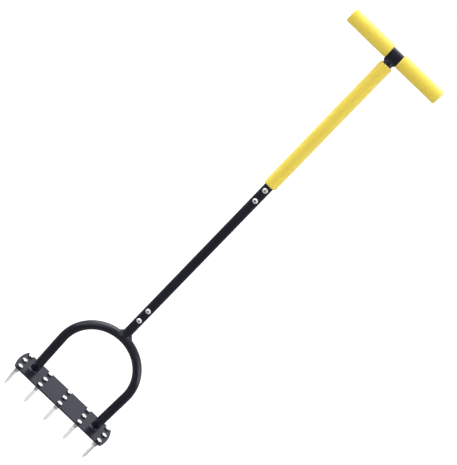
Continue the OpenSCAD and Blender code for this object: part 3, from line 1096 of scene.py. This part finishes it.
def camera():
    """The tool stands upright; the camera looks down on it from the front, rolled so that it leans."""
    ahead = Vector((math.sin(VIEW_AZIMUTH) * math.cos(VIEW_PITCH),
                    math.cos(VIEW_AZIMUTH) * math.cos(VIEW_PITCH), -math.sin(VIEW_PITCH)))
    level = Vector((math.cos(VIEW_AZIMUTH), -math.sin(VIEW_AZIMUTH), 0))
    upright = level.cross(ahead)
    c, s = math.cos(VIEW_ROLL), math.sin(VIEW_ROLL)
    right, up = level * c + upright * s, upright * c - level * s
    data = bpy.data.cameras.new("camera")
    data.lens, data.sensor_width, data.sensor_fit = LENS, SENSOR, "AUTO"
    data.clip_start, data.clip_end = 0.05, 50
    obj = bpy.data.objects.new("camera", data)
    turn = Matrix((right, up, -ahead)).transposed().to_4x4()
    obj.matrix_world = Matrix.Translation(VIEW_AIM - ahead * VIEW_DISTANCE) @ turn
    bpy.context.scene.collection.objects.link(obj)
    bpy.context.scene.camera = obj


def seen_as(tree, shown, lit):
    """A shader that the camera sees as shown, and that lights and mirrors as lit."""
    path, mix = tree.nodes.new("ShaderNodeLightPath"), tree.nodes.new("ShaderNodeMixShader")
    tree.links.new(path.outputs["Is Camera Ray"], mix.inputs["Fac"])
    tree.links.new(lit.outputs[0], mix.inputs[1])
    tree.links.new(shown.outputs[0], mix.inputs[2])
    return mix.outputs[0]


# The floor's own glow as the camera sees it, and the share of light that it gives back: to the camera
# and to mirroring surfaces, and to matt ones
FLOOR_GLOW = 0.93
FLOOR_SHADE = 0.2
FLOOR_BOUNCE = 0.42
FLOOR_HALF = 30
FLOOR_DROP = 0.2 * MM
# A glowing disc under the tool, not seen by the camera, that fades out between two distances
PANEL_GLOW = 0.6
PANEL_EDGE = (0.09, 0.17)


def floor():
    """A pale floor: white to the eye with a faint shadow, and dimmer in what the tool mirrors."""
    look = Look("pale_floor", Roughness=0.9, Specular_IOR_Level=0.0)
    ray = look.node("ShaderNodeLightPath").outputs["Is Diffuse Ray"]
    drift = look.between(look.noise(3.0), 0.3, 0.7, 0.97, 1.0)
    shade = look.between(ray, 0, 1, FLOOR_SHADE, FLOOR_BOUNCE)
    toned = look.node("ShaderNodeMath", {0: shade, 1: drift}, operation="MULTIPLY")
    look.drive("Base Color", toned.outputs[0])
    reach = look.node("ShaderNodeVectorMath", {0: look.where}, operation="LENGTH").outputs["Value"]
    panel = look.node("ShaderNodeEmission",
                      {"Strength": look.between(reach, *PANEL_EDGE, PANEL_GLOW, 0)})
    glow = look.node("ShaderNodeEmission", {"Strength": FLOOR_GLOW})
    lit, shown = (look.node("ShaderNodeAddShader", {0: look.shader.outputs[0], 1: source.outputs[0]})
                  for source in (panel, glow))
    output = look.tree.nodes["Material Output"]
    look.tree.links.new(seen_as(look.tree, shown, lit), output.inputs["Surface"])
    mesh = bpy.data.meshes.new("floor")
    corners = [(x * FLOOR_HALF, y * FLOOR_HALF, 0) for x, y in ((-1, -1), (1, -1), (1, 1), (-1, 1))]
    mesh.from_pydata(corners, [], [(0, 1, 2, 3)])
    mesh.materials.append(look.material)
    obj = bpy.data.objects.new("floor", mesh)
    obj.location.z = -FLOOR_DROP
    bpy.context.scene.collection.objects.link(obj)


# An even light from everywhere, and the soft lights on top of it, one of them negative, for the dark
# gap in front where the viewer stands: direction, half angles where each starts and is full, strength
FILL = 1.0
LIGHT_COLOUR = (0.98, 0.99, 1, 1)
BACKDROP = (1, 1, 1, 1)
SOFT_LIGHTS = (
    ((-0.48, 0.20, 0.85), 38, 12, 4.8),
    ((0.10, -0.80, 0.60), 50, 15, -0.40),
    ((-0.85, -0.45, 0.30), 45, 15, 1.2),
    ((0.93, -0.25, 0.20), 36, 12, 2.5),
)


def studio():
    """The floor, and a world that is white to the camera and lights the tool softly."""
    floor()
    world = bpy.data.worlds.new("studio")
    world.use_nodes = True
    tree = world.node_tree

    def made(kind, operation, *sources):
        """A maths node; its inputs are constants or other nodes' outputs."""
        node = tree.nodes.new(kind)
        node.operation = operation
        for socket, source in zip(node.inputs, sources):
            if isinstance(source, bpy.types.NodeSocket):
                tree.links.new(source, socket)
            else:
                socket.default_value = source
        return node

    way = tree.nodes.new("ShaderNodeTexCoord").outputs["Generated"]
    total = FILL
    for direction, wide, narrow, strength in SOFT_LIGHTS:
        near = made("ShaderNodeVectorMath", "DOT_PRODUCT", way, Vector(direction).normalized())
        lobe = tree.nodes.new("ShaderNodeMapRange")
        lobe.interpolation_type = "SMOOTHSTEP"
        tree.links.new(near.outputs["Value"], lobe.inputs["Value"])
        lobe.inputs["From Min"].default_value = math.cos(math.radians(wide))
        lobe.inputs["From Max"].default_value = math.cos(math.radians(narrow))
        lobe.inputs["To Max"].default_value = strength
        total = made("ShaderNodeMath", "ADD", lobe.outputs["Result"], total).outputs[0]
    lit = tree.nodes["Background"]
    lit.inputs["Color"].default_value = LIGHT_COLOUR
    tree.links.new(total, lit.inputs["Strength"])
    shown = tree.nodes.new("ShaderNodeBackground")
    shown.inputs["Color"].default_value = BACKDROP
    tree.links.new(seen_as(tree, shown, lit), tree.nodes["World Output"].inputs["Surface"])
    bpy.context.scene.world = world
    bpy.context.scene.view_settings.view_transform = "Standard"


camera()
build()
studio()
